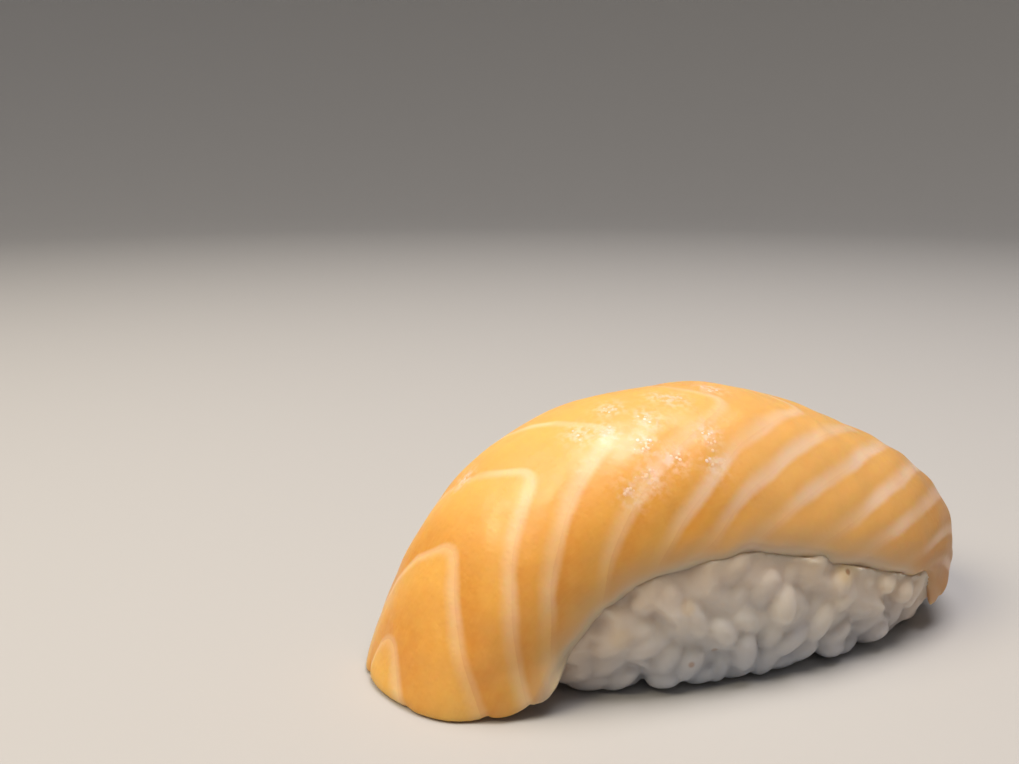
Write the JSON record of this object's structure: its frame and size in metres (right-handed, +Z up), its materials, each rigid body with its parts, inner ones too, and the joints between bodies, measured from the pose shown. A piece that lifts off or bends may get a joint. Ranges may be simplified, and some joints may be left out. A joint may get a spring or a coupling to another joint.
{
  "type": "salmon nigiri",
  "caption": "Bias-cut slice of raw salmon draped over a hand-pressed oval block of rice.",
  "frame": {"origin": "on the board, under the middle of the whole's box", "axes": "+Z up; +X along the length, from the end of the slice that reaches the board to the end that hangs clear of it; -Y is the front"},
  "size_m": [0.0758, 0.0304, 0.031],
  "materials": {
    "salmon_flesh": "wet and slightly translucent, with soft pale fat lines",
    "pressed_rice": "moist, slightly translucent grains"
  },
  "bodies": {
    "root": {"salmon_slice": "salmon_flesh", "rice_block": "pressed_rice"}
  },
  "joints": []
}
